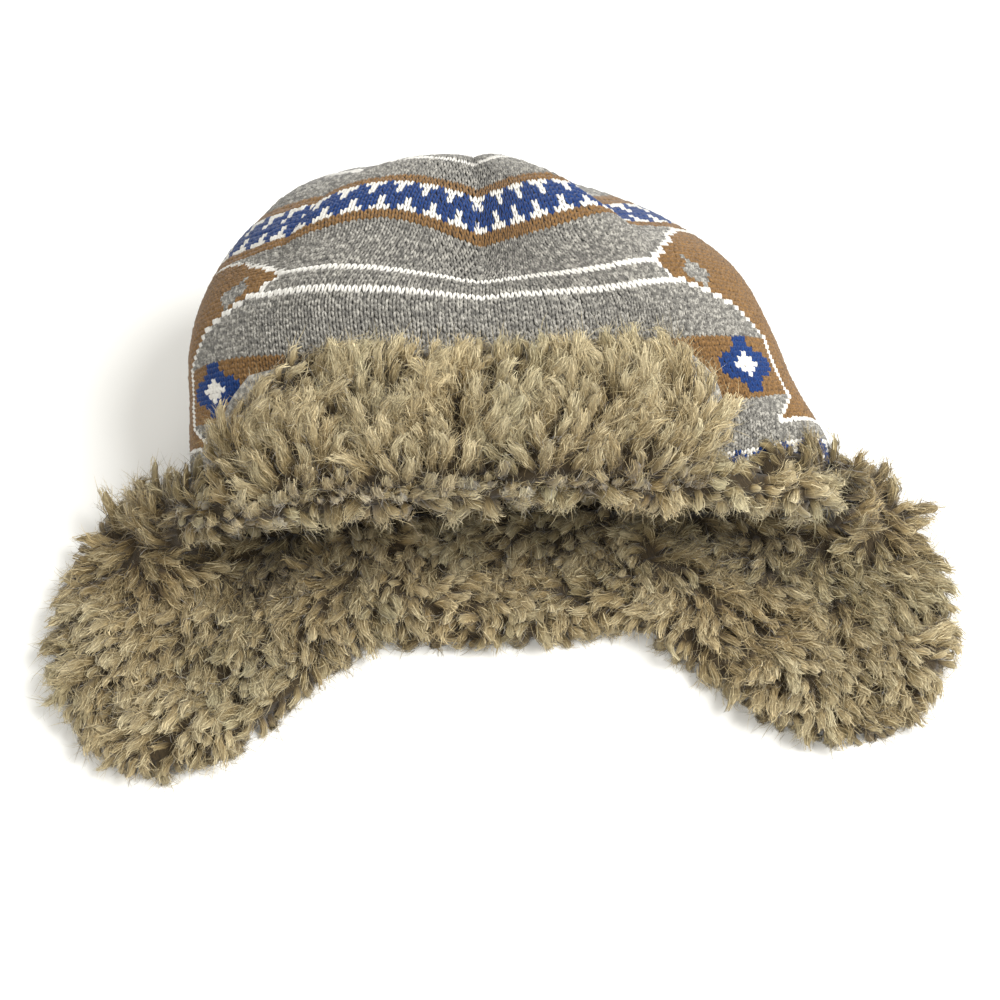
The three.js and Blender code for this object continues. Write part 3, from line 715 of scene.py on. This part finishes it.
# A lock's solid body: where its rings are, how many sides it has, and how thick it is as a share
# of the whole lock
LOCK_RINGS = np.array([0.0, 0.3, 0.58, 0.82, 0.97])
LOCK_SIDES = 6
LOCK_CORE = 0.76
# A fibre's places from its root to its tip, its width at each, and the share of fibres that are frizz
FIBRE_STEPS = np.array([0.0, 0.36, 0.7, 1.0])
FIBRE_WIDTHS = np.array([0.8, 1.0, 0.85, 0.0])
FIBRE_FACES = np.array([(0, 1, 3), (0, 3, 2), (2, 3, 5), (2, 5, 4), (4, 5, 6)])
FIBRE_POINTS = 7
FRIZZ = 0.48
# How far wool stays off the table, in mm, and how dark a skin is painted, as shade in the crevices between
# its locks
TABLE_CLEAR = 0.3
ROOT_SHADE = 0.13


def lock_bodies(name, locks):
    """The solid wool of the locks, open where they are rooted."""
    lock = np.arange(locks.count)[:, None, None]
    along = LOCK_RINGS[None, :, None]
    around = (2 * np.pi * np.arange(LOCK_SIDES) / LOCK_SIDES - np.pi)[None, None, :]
    lock, along, around = np.broadcast_arrays(lock, along, around)
    points, normals = locks.place(lock, along, around, np.full(lock.shape, LOCK_CORE))
    points[..., 2] = np.maximum(points[..., 2], TABLE_CLEAR)
    # The bodies take the locks' painted shade, darker at the root and underneath
    depth = np.stack([locks.tint[lock], locks.depth(lock, along, around)], axis=-1)
    fibres = np.stack([around * locks.width[lock] + 9.0 * lock, along * locks.length[lock]], axis=-1)
    quads = grid_faces(LOCK_SIDES, len(LOCK_RINGS) - 1, loop=True)
    last = (len(LOCK_RINGS) - 1) * LOCK_SIDES
    cap = [(last, last + k, last + k + 1) for k in range(1, LOCK_SIDES - 1)]
    faces = np.concatenate([quads[:, [0, 1, 2]], quads[:, [0, 2, 3]], cap])
    first = np.arange(locks.count)[:, None, None] * len(LOCK_RINGS) * LOCK_SIDES
    faces = (first + faces).reshape(-1, 3)
    uvs = {"wool_depth": depth.reshape(-1, 2), "wool_fibres": fibres.reshape(-1, 2)}
    soft = unit(normals + 0.5 * locks.up[lock])
    return add_piece(name, points.reshape(-1, 3), faces, [FLEECE], uvs=uvs, normals=soft.reshape(-1, 3))


def fibres(name, locks, count, length, width, replaces):
    """Fine fibres that follow the locks' curl, with some that stand out as frizz."""
    size = locks.length * locks.width
    lock = rng.choice(locks.count, count, p=size / np.sum(size))
    lock = np.repeat(lock[:, None], len(FIBRE_STEPS), axis=1)
    frizz = (rng.random(count) < FRIZZ)[:, None]
    step = FIBRE_STEPS[None, :]
    reach = (length * rng.uniform(0.6, 1.2, count))[:, None] / locks.length[lock]
    start = rng.uniform(0.1, 0.92, count)[:, None]
    along = np.minimum(start + reach * step * np.where(frizz, 0.5, 1), 1.12)
    around = np.clip(rng.normal(0, 1.1, count), -2.4, 2.4)[:, None]
    around = around + rng.normal(0, 0.55, count)[:, None] * step
    loose = rng.uniform(0.0, 0.1, count)[:, None]
    loose = loose + rng.uniform(0.0, 0.3, count)[:, None] ** 2 * step**2 * 6
    line, out = locks.place(lock, along, around, 1.0 + loose, 0.75)
    way = unit(rng.normal(0, 1, (count, 1, 3)) + 0.5 * out + 0.5 * locks.fore[lock])
    curl = unit(rng.normal(0, 1, (count, 1, 3)) + 0.1 * out)
    stray = (rng.uniform(0.3, 0.8, count) * length)[:, None] * frizz
    line = line + way * (stray * step)[..., None] + curl * (0.8 * stray * step**2)[..., None]
    line = line + rng.normal(0, 0.12, line.shape) * step[..., None]
    line[..., 2] = np.maximum(line[..., 2], 0.4)

    tangent = unit(np.gradient(line, axis=1))
    across = unit(np.cross(tangent, out))
    twist = rng.normal(0, 0.5, (count, 1, 1))
    across = unit(across * np.cos(twist) + np.cross(tangent, across) * np.sin(twist))
    half = np.where(frizz, 0.55, 1.0) * rng.uniform(0.6, 1.2, (count, 1)) * width / 2
    half = (half * FIBRE_WIDTHS)[..., None]
    points = np.stack([line - across * half, line + across * half], axis=2)[:, :-1]
    points = np.concatenate([points.reshape(count, -1, 3), line[:, -1:]], axis=1)
    points[..., 2] = np.maximum(points[..., 2], TABLE_CLEAR)
    soft = unit(out + 0.5 * locks.up[lock] + 0.6 * np.sin(twist * 3) * across)
    soft = np.concatenate([np.repeat(soft[:, :-1], 2, axis=1), soft[:, -1:]], axis=1)

    faces = (np.arange(count)[:, None, None] * FIBRE_POINTS + FIBRE_FACES).reshape(-1, 3)
    twice = [0, 0, 1, 1, 2, 2, 3]
    # Each fibre takes its lock's painted shade, lighter towards its own tip, with frizz evened towards a
    # middle light and a random tone on top
    light = locks.depth(lock, along, around) + rng.normal(0.02, 0.17, count)[:, None]
    light = light + 0.08 * step
    light = np.clip(np.where(frizz, 0.55 * light + 0.33, light), 0.02, 1)
    tint = np.clip(locks.tint[lock] + rng.normal(0, 0.1, count)[:, None], 0, 1)
    depth = np.stack([tint, light], axis=-1)[:, twice]
    streak = rng.uniform(0, 400, count)[:, None] + 0 * along
    place = np.stack([streak, along * locks.length[lock]], axis=-1)[:, twice]
    uvs = {"wool_depth": depth.reshape(-1, 2), "wool_fibres": place.reshape(-1, 2)}
    return add_piece(name, points.reshape(-1, 3), faces, [FLEECE], uvs=uvs,
                     normals=soft.reshape(-1, 3), replaces=replaces)


def fleece(name, pelt, count, replaces, apart, stretch, length, width, rise, stray, fibre=7.5, fine=0.3):
    """A pelt's skin, painted dark as shade between its locks, the locks on it, and count fibres on the
    locks. fibre and fine are a fibre's length and width in mm, and Locks says what the other sizes are."""
    points, faces = closed_sheet(pelt.lower[::2, ::2], pelt.points[::2, ::2])
    place = points[:, :2] + points[:, 2:]
    # The skin is painted dark all over, as shade between the locks
    uvs = {"wool_depth": np.tile([0.5, ROOT_SHADE], (len(points), 1)), "wool_fibres": place}
    locks = Locks(pelt, apart, stretch, length, width, rise, stray)
    made = [
        add_piece(name + "_skin", points, faces, [FLEECE], uvs=uvs),
        lock_bodies(name + "_locks", locks),
        fibres(name + "_fibres", locks, count, fibre, fine, replaces),
    ]


def swell(x, power):
    """How full a pad is at a share x of the way to its edge."""
    return np.power(np.maximum(0, 1 - np.power(np.abs(x), power)), 1 / power)


def eased(count, power):
    """Steps from 0 to 1 that crowd towards 1."""
    return 1 - np.power(1 - np.linspace(0, 1, count + 1), power)


def both_ways(count):
    """Steps from 0 to 1 that crowd towards both ends."""
    x = np.linspace(-1, 1, count + 1)
    return 0.5 + 0.5 * np.sign(x) * (1 - np.power(1 - np.abs(x), 1.5))


def cloth_reach(u):
    """How far an ear flap's cloth goes, drawn in by the wool that rolls over its edge."""
    return np.minimum(read(EAR_EDGE, EAR_COLUMNS, "knit", u) - 0.012, 0.95)


def ear_cloth(side):
    return lambda u, v, h: ear_point(side, u, v * cloth_reach(u), np.full_like(u, h))


def knit_sheets():
    """The cloth backs of the visor and of the three flaps."""
    for name, node_name, face, across, along in (
        ("visor_cloth", "visor_knit", lambda u, v, h: visor_point(u, v, 2 * GAP + h), 60, 16),
        ("neck_flap_cloth", "neck_flap_knit", lambda u, v, h: neck_point(u, NECK_KNIT * v, h), 40, 20),
        ("left_ear_flap_cloth", "left_ear_flap_knit", ear_cloth(1), 60, 30),
        ("right_ear_flap_cloth", "right_ear_flap_knit", ear_cloth(-1), 60, 30),
    ):
        u, v = np.meshgrid(np.linspace(0, 1, across + 1), np.linspace(0, 1, along + 1))
        upper = face(u, v, KNIT)
        points, faces = closed_sheet(face(u, v, 0.0), upper)
        piece = add_piece(name, points, faces, [GREY_MARL], replaces=[node_name])


# How thick the visor's and the flaps' fleeces are under their locks, in mm
VISOR_PAD = 7
FLAP_PAD = 8
# How far the fleeces of the ear and neck flaps go, as a share of the flaps' length
EAR_WOOL = 0.945
NECK_WOOL = 0.93


def visor_and_rim_fleece():
    """The fleece of the turned-up visor, and the roll below it."""
    u, v = np.meshgrid(both_ways(110), both_ways(44))
    low = 2 * GAP + KNIT + 1.3 * GAP
    full = swell(2 * u - 1, 6) * swell(2 * v - 1, 6)
    fan = (np.sign(2 * u - 1) * np.power(np.abs(2 * u - 1), 4))[..., None]
    corner = smoothstep((v - 0.3) / 0.7)
    wide = mix(0.02 + 0.09 * corner, 0.98 - 0.05 * corner, u)
    up = mix(-0.14, 0.93 + 0.08 * smoothstep(np.abs(u - 0.62) / 0.55), v)
    growth = mix(0.5, 1, smoothstep(2 * full - 0.9) * smoothstep((1 - v) / 0.3))
    # Painted shade darkens the visor's wool towards its foot, by the roll
    pelt = Pelt(
        visor_point(wide, up, low + VISOR_PAD * np.maximum(full, 0.02)), visor_point(wide, up, low),
        lambda across, along: along + 0.5 * fan * across, growth, mix(0.88, 1, smoothstep(v / 0.5)))
    fleece("visor_fleece", pelt, 28000, ["visor_fleece"], apart=2.9, stretch=1.9, length=14, width=2.6,
           rise=4.0, stray=0.4)

    u, turn = np.meshgrid(both_ways(100), np.linspace(-0.8 * np.pi, 0.75 * np.pi, 25))
    around = mix(*ROLL_ENDS, u)
    full = np.maximum(swell(2 * u - 1, 8), 0.1)
    pelt = Pelt(
        roll_point(around, turn, (ROLL_RADIUS - 3.5) * full), roll_point(around, turn, full),
        lambda across, along: 0.7 * np.clip(turn, -1, 1)[..., None] * along + 0.5 * across)
    fleece("rim_fleece", pelt, 15000, ["rim_fleece"], apart=3.2, stretch=1.3, length=8.5, width=2.7,
           rise=3.3, stray=1.5, fibre=6)


def ear_fleeces():
    """The wool lies in swirls by the head and combed out at the flap's edge."""
    for side, name in ((1, "left"), (-1, "right")):
        start = -0.14 if side > 0 else -0.1
        u, v = np.meshgrid(mix(start, 1.02, 1 - eased(84, 1.3)[::-1]), eased(64, 1.5))
        low = KNIT + 1.5 * GAP
        full = swell(v, 7) * mix(0.55, 1, smoothstep(v / 0.3)) * smoothstep((u - start) / 0.05 + 0.3)
        out = smoothstep((v - 0.35) / 0.35)[..., None]
        swirl = [turn[..., None] * (1 - out) for turn in (np.sin(9 * u + 5 * v), np.cos(8 * v + 6 * u))]

        def comb(across, along, out=out, swirl=swirl):
            return along * (0.3 + out + 0.7 * swirl[0]) + across * 0.7 * swirl[1]

        lower = ear_point(side, u, v * EAR_WOOL, np.full_like(u, low))
        face = ear_point(side, u, v * EAR_WOOL, low + FLAP_PAD * np.maximum(full, 0.02))
        growth = mix(1, 0.7, smoothstep((v - 0.85) / 0.15)) * mix(0.6, 1, smoothstep((u - start) / 0.2))
        # Painted shade: the wool is darker by the head, where its crevices lie deep, and lighter out
        # towards the edge
        shade = mix(0.7, 0.89, smoothstep((v - 0.45) / 0.35))
        pelt = Pelt(face, lower, comb, growth, shade)
        fleece(name + "_ear_fleece", pelt, 25500, [name + "_ear_flap_fleece"], apart=2.85,
               stretch=1.7, length=12, width=2.4, rise=3.6, stray=0.6)


def neck_fleece():
    u, v = np.meshgrid(np.linspace(-0.03, 1.03, 55), eased(36, 1.5))
    low = KNIT + GAP
    face = neck_point(u, v * NECK_WOOL, low + FLAP_PAD * np.maximum(swell(v, 7), 0.02))
    growth = mix(1, 0.7, smoothstep((v - 0.85) / 0.15))
    # The neck flap's wool is darkened all over by painted shade
    pelt = Pelt(face, neck_point(u, v * NECK_WOOL, low),
                lambda across, along: along + 0.2 * across, growth, 0.83)
    fleece("neck_fleece", pelt, 12500, ["neck_flap_fleece"], apart=3.2, stretch=1.3, length=9.5, width=2.7,
           rise=3.8, stray=1.1, fibre=6.5)


def lining():
    """The crown's lining, with its locks short at the mouth so that they stay inside."""
    a, t = np.meshgrid(np.linspace(0, 1, 121), np.linspace(0.0, 0.97, 49))
    pelt = Pelt(
        inner_point(a, t, KNIT + GAP + 4.5), inner_point(a, t, KNIT + GAP),
        lambda across, along: -along + 0.3 * across, mix(0.35, 1, smoothstep((t - 0.04) / 0.2)))
    fleece("crown_lining", pelt, 1500, ["crown_lining"], apart=11.0, stretch=1.4, length=15, width=5.5,
           rise=3.5, stray=0.6, fibre=10, fine=0.6)


# The crown's wall under its stitches, in the dark grey of painted shade between stitches
shell_points, shell_faces = crown_shell(
    lambda a, t: crown_point(a, t, -0.9, 0.9), lambda a, t: inner_point(a, t, KNIT), 108, 52)
crown = add_piece("crown_fabric", shell_points, shell_faces, [PAINTED_SHADE_WOOL], replaces=["crown_knit"])
rows = knit_crown()
knit_sheets()
visor_and_rim_fleece()
ear_fleeces()
neck_fleece()
lining()


def studio():
    """A white floor and a bright room with light from a window at the right."""
    plane = bpy.data.meshes.new("floor")
    half = 4.0
    corners = [(-half, -half, 0), (half, -half, 0), (half, half, 0), (-half, half, 0)]
    plane.from_pydata(corners, [], [(0, 1, 2, 3)])
    floor = bpy.data.objects.new("floor", plane)
    bpy.context.scene.collection.objects.link(floor)
    paper = bpy.data.materials.new("white_paper")
    paper.use_nodes = True
    shader = paper.node_tree.nodes["Principled BSDF"]
    shader.inputs["Base Color"].default_value = linear("#f6f5f1")
    shader.inputs["Roughness"].default_value = 0.9
    shader.inputs["Specular IOR Level"].default_value = 0.1
    plane.materials.append(paper)

    world = bpy.data.worlds.new("soft_white_room")
    bpy.context.scene.world = world
    world.use_nodes = True
    world.node_tree.nodes["Background"].inputs["Color"].default_value = linear("#fbfaf6")
    world.node_tree.nodes["Background"].inputs["Strength"].default_value = 0.78

    for name, place, size, power in (
        ("window_light", (1.0, -0.2, 1.4), 0.9, 32),
        ("front_fill", (-0.7, -1.2, 1.4), 1.2, 8),
    ):
        light = bpy.data.lights.new(name, "AREA")
        light.shape, light.size, light.energy = "DISK", size, power
        lamp = bpy.data.objects.new(name, light)
        lamp.location = place
        lamp.rotation_euler = (Vector((0, 0, 0.05)) - Vector(place)).to_track_quat("-Z", "Y").to_euler()
        bpy.context.scene.collection.objects.link(lamp)


def photo_camera():
    """The photo's view: from above and a little to the left of the visor."""
    azimuth, elevation, distance = math.radians(357), math.radians(55), 0.78
    target = Vector((0.00116, -0.00409, 0.04))
    level = math.cos(elevation)
    away = Vector((math.sin(azimuth) * level, -math.cos(azimuth) * level, math.sin(elevation)))
    data = bpy.data.cameras.new("photo_camera")
    data.sensor_width, data.lens = 36, 71.28
    data.shift_x, data.shift_y = 0.005, -0.035
    data.clip_start, data.clip_end = 0.01, 20
    camera = bpy.data.objects.new("photo_camera", data)
    camera.location = target + away * distance
    camera.rotation_euler = (-away).to_track_quat("-Z", "Y").to_euler()
    bpy.context.scene.collection.objects.link(camera)
    bpy.context.scene.camera = camera


studio()
photo_camera()
bpy.context.scene.view_settings.view_transform = "Standard"
